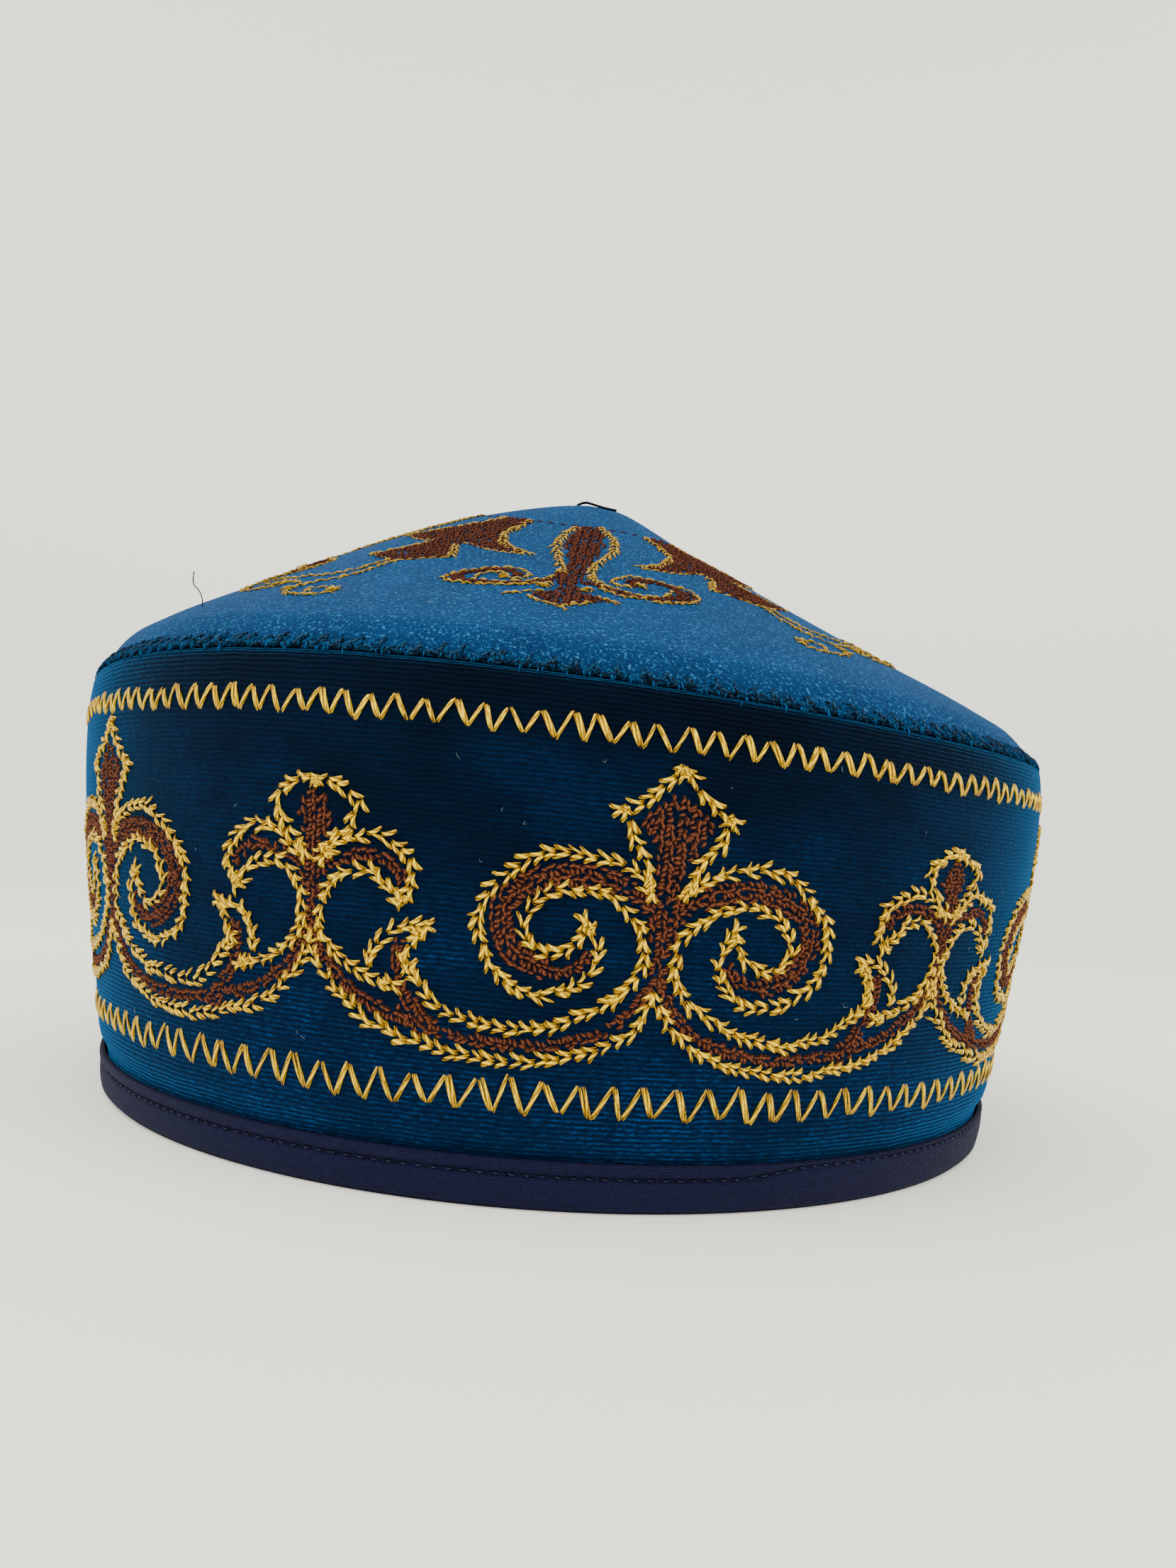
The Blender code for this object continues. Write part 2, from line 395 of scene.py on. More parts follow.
# Smooth silk-like velvet: a very short pile, mottled in fine grains about half a millimetre
# apart, with painted glints on the grain's brightest points for the pile's tips catching the light,
# bright because the crown is always seen edge on.
CROWN_DEEP = "#011E3E"
CROWN_BLUE = "#02315E"
CROWN_PAINTED_GLINT = "#4B9FD8"
CROWN_SHEEN = "#1583CF"
smooth_velvet, tree, shader = new_material("smooth velvet")
spot = node(tree, "TexCoord").outputs["Object"]
grain = node(tree, "TexNoise", {"Vector": spot, "Scale": 1700.0, "Detail": 2.0, "Roughness": 0.75})
clouds = node(tree, "TexNoise", {"Vector": spot, "Scale": 70.0, "Detail": 4.0, "Roughness": 0.6})
blend = node(tree, "Math", {0: clouds, 1: 0.55, 2: grain}, operation="MULTIPLY_ADD")
level_out = node(tree, "MapRange", {"Value": blend, "From Min": 0.5, "From Max": 1.05})
body = node(tree, "Mix", {"Factor": level_out, "A": colour(CROWN_DEEP), "B": colour(CROWN_BLUE)},
            data_type="RGBA")
# Painted glints: the brightest points of the grain are mixed towards a pale blue.
glint_share = node(tree, "MapRange", {"Value": grain, "From Min": 0.56, "From Max": 0.76, "To Max": 0.55})
painted_glints = node(tree, "Mix", {"Factor": glint_share, "A": body.outputs["Result"], "B": colour(CROWN_PAINTED_GLINT)},
               data_type="RGBA")
bump = node(tree, "Bump", {"Height": blend, "Strength": 0.9, "Distance": 0.0004})
fill(tree, shader, {"Base Color": painted_glints.outputs["Result"], "Roughness": 0.85, "Specular IOR Level": 0.06,
                    "Sheen Weight": 0.18, "Sheen Roughness": 0.35, "Sheen Tint": colour(CROWN_SHEEN),
                    "Normal": bump})

rings = np.concatenate([np.linspace(0.0, 0.94, 48, endpoint=False), np.linspace(0.94, 0.9975, 16)])
under_rings = np.array([0.985, 0.96, 0.88, 0.74, 0.58, 0.42, 0.28, 0.14, 0.0])
outside = crown_point(turn, rings[None, :])
to_seam = (1.0 - rings) * RIM_RADIUS
outside[..., 2] -= SEAM_DIP * sewn_dip(to_seam, CROWN_DIP_REACH)
outside[..., 2] += BEAD_RISE * sewn_dip(to_seam - BEAD_PLACE, BEAD_REACH)
inside = crown_point(turn, under_rings[None, :])
inside[..., 2] -= 1.1 * CROWN_THICKNESS
shell = np.concatenate([inside[:, ::-1], outside[:, ::-1]], 1)
crown_velvet = grid_mesh("crown_velvet", shell, smooth_velvet)
tidy = bmesh.new()
tidy.from_mesh(crown_velvet.data)
bmesh.ops.remove_doubles(tidy, verts=tidy.verts, dist=1e-6)
tidy.to_mesh(crown_velvet.data)
tidy.free()
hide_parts("crown")
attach(crown_velvet, "root")


# The hem is bound in navy twill tape folded over the edge. A row of stitches sinks a groove
# that parts a narrow upper strip from the padded roll below; right of the front the strip
# narrows where the tape is joined. Twill lines 0.8 mm apart and weft steps 0.42 mm apart are
# drawn coarser than real ones, so that they show.
STRIP_WIDTH = 0.0022
STRIP_NARROWED = 0.0007
GROOVE_DEPTH = 0.00045
ROLL_FULLNESS = 0.00035
GROOVE_REACH = 0.00035
TAPE_CORNER = 0.0005
TAPE_FOOT = 0.0004
TWILL_PITCH = 0.0008
WEFT_PITCH = 0.00042
TWILL_DARK = "#000107"
TWILL_LIGHT = "#15173F"


def strip_width(angle):
    """Width of the upper strip: full round the left and the back, narrow for a stretch that
    starts right of the front."""
    past_front = np.degrees(np.mod(angle + math.pi / 2.0, 2.0 * math.pi))
    narrow = smooth_step((past_front - 18.0) / 9.0) * (1.0 - smooth_step((past_front - 170.0) / 12.0))
    return STRIP_WIDTH - (STRIP_WIDTH - STRIP_NARROWED) * narrow


navy_twill, tree, shader = new_material("navy cotton twill tape")
cloth = node(tree, "UVMap", uv_map="cloth")
apart = node(tree, "SeparateXYZ", {"Vector": cloth})
slant = node(tree, "Math", {0: apart.outputs["Y"], 1: 1.7, 2: apart.outputs["X"]}, operation="MULTIPLY_ADD")
slant = node(tree, "Math", {0: slant, 1: 2.0 * math.pi / TWILL_PITCH}, operation="MULTIPLY")
ridge = node(tree, "Math", {0: slant}, operation="SINE")
pick = node(tree, "Math", {0: apart.outputs["Y"], 1: 2.0 * math.pi / WEFT_PITCH}, operation="MULTIPLY")
pick = node(tree, "Math", {0: pick}, operation="SINE")
weave = node(tree, "Math", {0: pick, 1: 0.45, 2: ridge}, operation="MULTIPLY_ADD")
slub = node(tree, "TexNoise", {"Vector": cloth, "Scale": 900.0, "Detail": 3.0})
threads = node(tree, "Math", {0: slub, 1: 1.6, 2: weave}, operation="MULTIPLY_ADD")
lit = node(tree, "MapRange", {"Value": threads, "From Min": -0.6, "From Max": 2.2})
mixed = node(tree, "Mix", {"Factor": lit, "A": colour(TWILL_DARK), "B": colour(TWILL_LIGHT)},
             data_type="RGBA")
bump = node(tree, "Bump", {"Height": threads, "Strength": 0.6, "Distance": 0.00012})
fill(tree, shader, {"Base Color": mixed.outputs["Result"], "Roughness": 0.75, "Specular IOR Level": 0.1,
                    "Normal": bump})

tape_rows = np.linspace(0.0, 1.0, 27)[None, :]
top = BINDING_HEIGHT
groove_at = top - strip_width(turn)
height = TAPE_FOOT + (top - TAPE_FOOT) * tape_rows
from_groove = height - groove_at
below = np.clip(height / groove_at, 0.0, 1.0)
swollen = ROLL_FULLNESS * np.sin(math.pi * below) ** 0.6 * (from_groove < 0.0)
above = np.clip(from_groove / (top - groove_at), 0.0, 1.0)
swollen = swollen + 0.6 * ROLL_FULLNESS * np.sin(math.pi * above)
radius = flare(height) + swollen - GROOVE_DEPTH * np.exp(-(from_groove / GROOVE_REACH) ** 2)
radius -= TAPE_CORNER * np.clip(1.0 - (height - TAPE_FOOT) / 0.0006, 0.0, 1.0) ** 2
outer_tape = turned(turn, radius, height)
inset = 2.0 * TUCK + BAND_THICKNESS
fold = TAPE_THICKNESS
rest_of_tape = np.array([
    (flare(top) - fold * 0.8, top + 0.0001), (flare(top) - fold, top - 0.0008),
    (flare(0.004) - fold, 0.004), (flare(fold) - fold, fold),
    (flare(fold) - inset + fold, fold), (flare(top) - inset + fold, top),
    (flare(top) - inset, top), (flare(TAPE_CORNER) - inset, TAPE_CORNER),
    (flare(0.0) - inset + TAPE_CORNER, 0.0), (flare(0.0) - 0.0006, 0.0),
])
rest = turned(turn, rest_of_tape[None, :, 0], rest_of_tape[None, :, 1])
binding_tape = grid_mesh(
    "binding_tape", np.concatenate([outer_tape, rest], 1), navy_twill, wrap_columns=True,
    u=np.linspace(0.0, 2.0 * math.pi * HEM_RADIUS, STEPS_ROUND + 1),
    v=np.concatenate([np.linspace(0.0, top, 27), top + 0.001 * np.arange(1, 12)]))
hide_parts("binding")
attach(binding_tape, "root")


# The gold work is a slack chain stitch in glossy mercerised cotton: each link shows as two
# plump arms that part like a V, its point tucked into the link before. The charts below are
# laid on the cap's own surfaces, so every stitch sits on the cloth.
CHART_RADIUS = 0.1
FRONT = -math.pi / 2.0


def with_normal(point, a, b):
    """A surface's point and its outward normal, from small steps along both chart directions."""
    step = 0.0004
    normal = np.cross(point(a + step, b) - point(a - step, b), point(a, b + step) - point(a, b - step))
    return point(a, b), normal / np.linalg.norm(normal, axis=-1, keepdims=True)


def on_band(across, height):
    """Band chart: arc length right of the front, at the chart's radius, and nominal height."""
    return with_normal(lambda a, h: band_point(FRONT + a / CHART_RADIUS, h), across, height)


def on_crown(x, y):
    """Crown chart: the plan of the crown before it leans."""
    return with_normal(lambda a, b: crown_point(np.arctan2(b, a), np.hypot(a, b) / RIM_RADIUS), x, y)


# How far a stitch stands proud, as a share of its width, how far its crease is pressed in, and
# the share of its length over which each end draws in.
PROUD = 0.25
STITCH_GROOVE = 0.35
STITCH_END = 0.09


def laid_stitches(name, surface, stitches, material, steps=5, sides=6, flatness=0.8):
    """One mesh of many short stitches. Each row of stitches is start x, y, end x, y, sideways
    bow, width and lift, in chart metres. A stitch is an ellipse carried along a bowed line, with a
    groove along its top between the two strands; its ends draw in and dive into the pile."""
    start, end = stitches[:, 0:2], stitches[:, 2:4]
    bow, width, lift = stitches[:, 4, None], stitches[:, 5, None], stitches[:, 6, None]
    along = np.linspace(0.0, 1.0, steps)
    arch = 4.0 * along * (1.0 - along)
    line = end - start
    sideways = np.stack([-line[:, 1], line[:, 0]], -1) / np.linalg.norm(line, axis=1, keepdims=True)
    flat = start[:, None] + line[:, None] * along[:, None] + sideways[:, None] * (bow * arch)[..., None]
    centre, normal = surface(flat[..., 0], flat[..., 1])
    tangent = np.gradient(centre, axis=1)
    tangent /= np.linalg.norm(tangent, axis=-1, keepdims=True)
    side = np.cross(tangent, normal)
    side /= np.linalg.norm(side, axis=-1, keepdims=True)
    above = np.cross(side, tangent)
    half = 0.5 * width * np.sin(math.pi * (STITCH_END + (1.0 - 2.0 * STITCH_END) * along)) ** 0.38
    rise = lift + width * (PROUD * np.sqrt(arch) - 0.5 * (1.0 - np.sqrt(arch)))
    centre = centre + above * rise[..., None]
    spin = 2.0 * math.pi * (np.arange(sides) + 0.5) / sides
    crease = np.where(np.abs(spin - math.pi / 2.0) < 0.1, STITCH_GROOVE, 1.0)
    ring = centre[:, :, None] + side[:, :, None] * (half[..., None] * np.cos(spin))[..., None]
    ring = ring + above[:, :, None] * (flatness * half[..., None] * np.sin(spin) * crease)[..., None]
    count = len(stitches)
    s, k, j = np.meshgrid(np.arange(count), np.arange(steps - 1), np.arange(sides), indexing="ij")
    corners = [(k, j), (k, j + 1), (k + 1, j + 1), (k + 1, j)]
    wall = np.stack([(s * steps + a) * sides + b % sides for a, b in corners], -1).reshape(-1, 4)
    wall_uv = np.stack([np.stack([a / (steps - 1.0), b / float(sides)], -1) for a, b in corners], -2)
    first = (np.arange(count) * steps * sides)[:, None, None]
    fan = np.array([(0, q + 3, q + 2, q + 1) for q in range(0, sides - 2, 2)])[None]
    ends = np.concatenate([first + fan, first + (steps - 1) * sides + fan[..., ::-1]], 1).reshape(-1, 4)
    uv = np.concatenate([wall_uv.reshape(-1, 2), np.zeros((ends.size, 2))])
    piece = quad_mesh(name, ring, np.concatenate([wall, ends]), material, "thread", uv)
    shade = piece.data.attributes.new("shade", "FLOAT", "POINT")
    shade.data.foreach_set("value", np.repeat(random.random(count), steps * sides).astype(np.float32))
    return piece


def thread_material(name, dark, mid, light, roughness, gloss=0.5, metal=0.0):
    """Twisted thread: two plies wind round it as slanted waves that raise a bump and paint shade
    into their grooves; each stitch has its own tone, and painted shade darkens its buried ends."""
    material, tree, shader = new_material(name)
    uv = node(tree, "SeparateXYZ", {"Vector": node(tree, "UVMap", uv_map="thread")})
    spot = node(tree, "TexCoord").outputs["Object"]
    wind = node(tree, "Math", {0: uv.outputs["X"], 1: 1.7}, operation="MULTIPLY")
    wind = node(tree, "Math", {0: uv.outputs["Y"], 1: 3.0, 2: wind}, operation="MULTIPLY_ADD")
    wind = node(tree, "Math", {0: wind, 1: 2.0 * math.pi}, operation="MULTIPLY")
    wave = node(tree, "Math", {0: wind}, operation="SINE")
    fibre = node(tree, "TexNoise", {"Vector": spot, "Scale": 2600.0, "Detail": 2.0})
    # Painted shade in the grooves between the plies, from the same wave that raises the bump.
    strand = node(tree, "Math", {0: wave, 1: 0.42, 2: fibre}, operation="MULTIPLY_ADD")
    own = node(tree, "Attribute", attribute_name="shade").outputs["Fac"]
    tone = node(tree, "Math", {0: own, 1: 0.3, 2: strand}, operation="MULTIPLY_ADD")
    # Painted shade: each stitch's ends, where they dive into the pile, are darkened.
    ends = node(tree, "Math", {0: uv.outputs["X"], 1: math.pi}, operation="MULTIPLY")
    ends = node(tree, "Math", {0: ends}, operation="SINE")
    tone = node(tree, "Math", {0: ends, 1: 0.55, 2: tone}, operation="MULTIPLY_ADD")
    scaled = node(tree, "MapRange", {"Value": tone, "From Min": 0.35, "From Max": 1.6})
    ramp = node(tree, "ValToRGB", {"Fac": scaled})
    ramp.color_ramp.elements[0].color = colour(dark)
    ramp.color_ramp.elements[1].color = colour(light)
    ramp.color_ramp.elements.new(0.5).color = colour(mid)
    bump = node(tree, "Bump", {"Height": strand, "Strength": 0.8, "Distance": 0.00012})
    fill(tree, shader, {"Base Color": ramp, "Roughness": roughness, "Metallic": metal,
                        "Specular IOR Level": gloss, "Normal": bump})
    return material


gold_thread = thread_material("gold mercerised cotton", "#201200", "#B88400", "#FFDA08", 0.32, 0.25, 0.5)
brown_thread = thread_material("chestnut cotton", "#100503", "#3B180A", "#703C24", 0.75, 0.12)


def smooth_line(points, spacing):
    """Places evenly spaced along a curve through the given points (a Catmull-Rom spline). Columns
    past the second are carried along with the place."""
    points = np.asarray(points, float)
    padded = np.concatenate([[2.0 * points[0] - points[1]], points, [2.0 * points[-1] - points[-2]]])
    t = np.linspace(0.0, 1.0, 16, endpoint=False)[:, None]
    spans = [
        0.5 * (2.0 * p1 + (p2 - p0) * t + (2.0 * p0 - 5.0 * p1 + 4.0 * p2 - p3) * t ** 2
               + (3.0 * p1 - p0 - 3.0 * p2 + p3) * t ** 3)
        for p0, p1, p2, p3 in zip(padded[:-3], padded[1:-2], padded[2:-1], padded[3:])
    ]
    dense = np.concatenate(spans + [points[-1:]])
    length = np.concatenate([[0.0], np.cumsum(np.linalg.norm(np.diff(dense[:, :2], axis=0), axis=1))])
    stations = np.linspace(0.0, length[-1], max(2, int(round(length[-1] / spacing)) + 1))
    place = np.stack([np.interp(stations, length, column) for column in dense.T], -1)
    heading = np.gradient(place[:, :2], axis=0)
    heading /= np.linalg.norm(heading, axis=1, keepdims=True)
    return place, heading, np.stack([-heading[:, 1], heading[:, 0]], -1)


def chain(points, pitch=0.00195, reach=0.0027, opening=0.0021, width=0.00074, uneven=1.0):
    """Chain stitch along a line: at each place two arms run forward, to the left and right of
    the line, until they are the opening apart. They start inside the link before."""
    place, heading, left = smooth_line(points, pitch)
    count = len(place)
    arms = []
    shift = uneven * 0.00016 * random.standard_normal((count, 2))
    for hand in (1.0, -1.0):
        wide = 0.5 * opening * (1.0 + 0.22 * uneven * random.standard_normal(count))[:, None]
        far = reach * (1.0 + 0.1 * uneven * random.standard_normal(count))[:, None]
        start = place - heading * 0.35 * pitch + left * hand * 0.18 * width + shift
        end = start + heading * far * 0.92 + left * hand * wide
        bow = -hand * 0.1 * reach * (1.0 + 0.6 * random.standard_normal(count))
        thick = width * (1.0 + 0.16 * random.standard_normal(count))
        high = 0.0001 + 0.00016 * random.random(count)
        arms.append(np.column_stack([start, end, bow, thick, high]))
    return np.concatenate(arms)


def running(points, pitch, width, uneven=0.00008):
    """Single stitches end to end along a line, each a little off it."""
    place, heading, left = smooth_line(points, pitch)
    start = place[:-1] + uneven * random.standard_normal((len(place) - 1, 2))
    end = place[1:] + 0.12 * (place[1:] - place[:-1])
    bow = uneven * random.standard_normal(len(start))
    return np.column_stack([start, end, bow, np.full(len(start), width), 0.00005 * np.ones(len(start))])


def knot(centre, size, count=8, width=0.0006):
    """A tangle where many stitches meet: short arms at all angles within a small disc."""
    turn = random.random(count) * 2.0 * math.pi
    middle = np.asarray(centre) + size * 0.32 * random.standard_normal((count, 2))
    half = 0.62 * size * (0.8 + 0.5 * random.random((count, 1))) * np.stack([np.cos(turn), np.sin(turn)], -1)
    bow = 0.0003 * random.standard_normal(count)
    high = 0.0001 + 0.0004 * random.random(count)
    return np.column_stack([middle - half, middle + half, bow, np.full(count, width), high])


# The brown fill is a close running chain in a thinner cotton: rows 0.86 mm apart of
# short arms that lean one way, then the other, with a little velvet showing between them.
FILL_ROW = 0.00086
FILL_PITCH = 0.00072
FILL_ARM = 0.0019
FILL_WIDTH = 0.00076
FILL_SLANT = math.radians(34.0)


def slanted(place, along, left, row):
    """One arm at each place, leaning to one side of the row on even rows and to the other on odd."""
    count = len(place)
    lean = np.where(row % 2 == 0, 1.0, -1.0) * FILL_SLANT + 0.3 * random.standard_normal(count)
    way = along * np.cos(lean)[:, None] + left * np.sin(lean)[:, None]
    half = 0.5 * FILL_ARM * (1.0 + 0.15 * random.standard_normal(count))[:, None]
    place = place + 0.00016 * random.standard_normal((count, 2))
    thick = FILL_WIDTH * (1.0 + 0.12 * random.standard_normal(count))
    return np.column_stack([place - way * half, place + way * half, 0.00008 * random.standard_normal(count),
                            thick, 0.00006 * random.random(count)])


def fill_ribbon(points):
    """Rows of slanted arms along a curve with a half width at each point, as many as fit."""
    place, heading, left = smooth_line(points, FILL_PITCH)
    sets = []
    most = int(np.ceil(place[:, 2].max() / FILL_ROW))
    for row in range(-most, most):
        shift = (row + 0.5) * FILL_ROW
        inside = np.abs(shift) <= place[:, 2] + 0.15 * FILL_ROW
        inside &= random.random(len(place)) > 0.06
        middle = place[:, :2] + left * shift + heading * (row % 2) * 0.5 * FILL_PITCH
        sets.append(slanted(middle[inside], heading[inside], left[inside], np.full(inside.sum(), row)))
    return np.concatenate(sets)


def fill_patch(outline, way):
    """Rows of slanted arms along a direction, kept where they are inside a closed outline."""
    outline, along = np.asarray(outline, float), np.asarray(way, float)
    across = np.array([-along[1], along[0]])
    p, q = outline @ along, outline @ across
    rows, steps = np.meshgrid(*[
        np.arange(math.floor(side.min() / gap), math.ceil(side.max() / gap) + 1)
        for side, gap in ((q, FILL_ROW), (p, FILL_PITCH))
    ])
    row = rows.ravel()
    x = (steps.ravel() + 0.5 * (row % 2)) * FILL_PITCH
    y = row * FILL_ROW
    crossings = (q[:, None] > y) != (np.roll(q, -1)[:, None] > y)
    slope = (np.roll(p, -1) - p) / np.where(np.roll(q, -1) == q, 1.0, np.roll(q, -1) - q)
    to_left = x < p[:, None] + (y - q[:, None]) * slope[:, None]
    inside = (crossings & to_left).sum(0) % 2 == 1
    inside &= random.random(len(x)) > 0.08
    place = x[inside, None] * along + y[inside, None] * across
    ways = [np.broadcast_to(way, place.shape) for way in (along, across)]
    return slanted(place, *ways, row[inside])


# The band's chart, for half a repeat, in degrees from a motif's axis and millimetres of
# height. Brown ribbons have their half width in millimetres as a third column.
REPEATS = 6
LARGE_AXIS = 8.7
HALF_REPEAT = 180.0 / REPEATS
HAND_DRIFT = 0.0011
TOP_LEAN = 0.6
GOLD_FROM_LARGE = [
    [(0, 66.5), (1.2, 64.3), (2.7, 61.8), (4.5, 59.7)],
    [(4.5, 59.7), (4, 57.3), (3.3, 55.1), (2.5, 53), (1.9, 50.7), (1.55, 48.7)],
    [(1.6, 48.6), (2.6, 50.2), (4, 51.6), (6, 52.6), (8, 52.9), (10, 52.2), (12, 50.5), (13.7, 48),
     (14.8, 45.2), (15.3, 42.3), (15.1, 39.3), (14.4, 36.6), (13.2, 34.2), (11.6, 32.8), (9.8, 32.2),
     (8, 32.5), (6.6, 33.8), (5.6, 35.8), (5.2, 38.2), (5.5, 40.6), (6.3, 42.8)],
    [(6.3, 42.8), (7, 40.3), (8.2, 38.5), (9.6, 37.9), (10.9, 39), (11.5, 41.2), (11.2, 43.5), (10.2, 45.6),
     (8.6, 47), (6.7, 47.5), (4.9, 46.8), (3.5, 45.4), (2.4, 43.5), (1.6, 41.2), (1.35, 38.8), (1.5, 36.5),
     (2.1, 34.4), (3.2, 32.4)],
    [(3.2, 32.4), (4.6, 30.6), (6.4, 28.8), (8.8, 27.4), (11.5, 26.7), (14.3, 26.9), (16.8, 28),
     (18.4, 29.6), (19.7, 31.4), (20.6, 33.2), (20.9, 34.8)],
    [(19.8, 40.1), (20.2, 38.5), (20.7, 36.6), (20.9, 34.8)],
    [(24, 33.2), (24.1, 34.8), (23.4, 37), (22.4, 38.8), (21, 39.8), (19.8, 40.1)],
    [(0, 33), (0.9, 30.6), (1.7, 28.4), (2.8, 26.6), (4.5, 24.9), (6.8, 23.3), (9.5, 22.2), (12.5, 21.7),
     (15.2, 22), (17.5, 22.5), (19.5, 23.1), (21.3, 23.9), (23, 24.9), (24.6, 26.1), (26.1, 27.6),
     (27.4, 29.3), (28.5, 31.3), (29.2, 33.6), (30, 36)],
]
GOLD_FROM_SMALL = [
    [(8.2, 42.6), (7.6, 43.7), (6.8, 45), (5.8, 46.3), (4.6, 47.1), (3.3, 46.9), (2.1, 45.4), (1.4, 43.8),
     (0.9, 41.8), (0.75, 39.4), (1.1, 37.3), (2.1, 35.3), (3.5, 33.5), (5, 32.3), (6.5, 31.4), (7.7, 31)],
    [(1.2, 48.6), (2.3, 50.1), (3.7, 51.4), (5.2, 52), (6.6, 51.6), (7.9, 50.5), (8.8, 48.9), (9.1, 47),
     (8.9, 45), (8.3, 43)],
    [(0, 59.2), (1.4, 58.9), (2.7, 57.8), (3.7, 56.5), (3.8, 54.9), (3.2, 53.2), (2.3, 51.5), (1.5, 49.9),
     (1.1, 48.4)],
]
KNOTS_FROM_LARGE = [(0.1, 66, 1.1), (1.7, 48.9, 1.2), (6.2, 42.2, 1.2), (20.2, 39, 1.2), (4.3, 59.5, 0.6)]
KNOTS_FROM_SMALL = [(1.2, 49.2, 1.3), (7.3, 31.3, 1.2), (0, 58.6, 0.8), (8.2, 43.3, 0.9)]
BROWN_FROM_LARGE = [
    [(1.5, 46, 0.9), (3.5, 48.3, 1.2), (6, 49.4, 1.2), (8.5, 49.4, 1.2), (10.7, 48.4, 1.3),
     (12.3, 46.7, 1.4), (13.2, 44.5, 1.6), (13.4, 42, 1.6), (13, 39.5, 1.5), (11.9, 37.4, 1.3),
     (10.3, 36, 1.2), (8.6, 35.4, 1.1), (7.2, 36, 0.9), (6.2, 37.6, 0.6), (5.9, 38.8, 0.3)],
    [(0.3, 35, 0.9), (1.2, 32.2, 0.9), (2.5, 29.4, 0.9), (4.2, 27.2, 0.8), (6.3, 25.6, 0.7), (9, 24.5, 0.6),
     (12, 24.1, 0.5), (15, 24.4, 0.5), (17.5, 24.9, 0.9), (18.8, 25.3, 1.3), (19.5, 26, 1.3),
     (20.5, 28, 1.2), (21.3, 30.5, 1.1), (21.8, 33, 1.0), (22, 35.5, 0.7), (21.6, 38, 0.3)],
]
BROWN_FROM_SMALL = [
    [(0.2, 38.5, 1.0), (0.6, 36, 1.0), (1.5, 33.6, 1.0), (2.6, 31.7, 0.9), (3.6, 30.4, 0.9), (4.8, 29, 0.8),
     (6.4, 27.7, 0.7), (8, 26.7, 0.6), (9.3, 26.3, 0.6)],
    [(1.3, 47.2, 0.8), (3, 48.5, 0.8), (5.3, 49.2, 0.7), (7, 48.4, 0.6), (8, 46.8, 0.5), (8.3, 45.5, 0.3)],
]
# Half width of the brown stems, in millimetres, at heights from the top down.
LARGE_STEM = [(62.3, 0.5), (60.3, 3.4), (58.5, 5), (56, 3.9), (54, 3), (52, 2.2), (50, 1.7), (48, 1.8),
              (46, 2.9), (44, 2.6), (42, 2), (40, 1.5), (36, 1.2), (34.5, 1.3), (33.5, 0.8)]
SMALL_STEM = [(57.5, 0.5), (56, 2), (54, 3), (52, 2), (50, 1.3), (48, 1.4), (46, 2), (44, 1.6), (42, 1.1),
              (38, 0.9)]


def band_chart(points, axis, hand=1.0):
    """Degrees from a motif's axis and millimetres of height to chart metres, mirrored by hand. The
    pattern was drawn freehand: it leans to the right, and runs higher on the left."""
    points = np.asarray(points, float)
    height = points[:, 1] * MM
    turn = np.radians(axis + hand * points[:, 0] + TOP_LEAN * np.clip(height / 0.033 - 1.0, 0.0, None))
    height = height - HAND_DRIFT * np.sin(turn)
    return np.column_stack([turn * CHART_RADIUS, height, points[:, 2:] * MM])


def stem(profile, axis):
    """Closed outline of an upright stem, from its half widths."""
    middle = band_chart([(0.0, height) for height, width in profile], axis)
    half = np.array([(width * MM, 0.0) for height, width in profile])
    return np.concatenate([middle + half, (middle - half)[::-1]])


for repeat in range(REPEATS):
    large = LARGE_AXIS + 360.0 / REPEATS * repeat
    gold, brown = [], [fill_patch(stem(LARGE_STEM, large), (0, -1)),
                       fill_patch(stem(SMALL_STEM, large + HALF_REPEAT), (0, -1))]
    for hand in (1.0, -1.0):
        for axis, toward, lines, knots, ribbons in (
            (large, hand, GOLD_FROM_LARGE, KNOTS_FROM_LARGE, BROWN_FROM_LARGE),
            (large + HALF_REPEAT, -hand, GOLD_FROM_SMALL, KNOTS_FROM_SMALL, BROWN_FROM_SMALL),
        ):
            for line in lines:
                route = band_chart(line, axis, toward)
                gold.append(chain(route + 0.0002 * random.standard_normal(route.shape)))
            for across, height, size in knots:
                gold.append(knot(band_chart([(across, height)], axis, toward)[0], size * MM))
            brown += [fill_ribbon(band_chart(ribbon, axis, toward)) for ribbon in ribbons]
    for name, sets, thread, fine in (
        ("band_gold", gold, gold_thread, {"steps": 4}),
        ("band_brown", brown, brown_thread, {"steps": 3, "sides": 4, "flatness": 0.6}),
    ):
        work = laid_stitches(f"{name}_{repeat + 1}", on_band, np.concatenate(sets), thread, **fine)
        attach(work, "root")


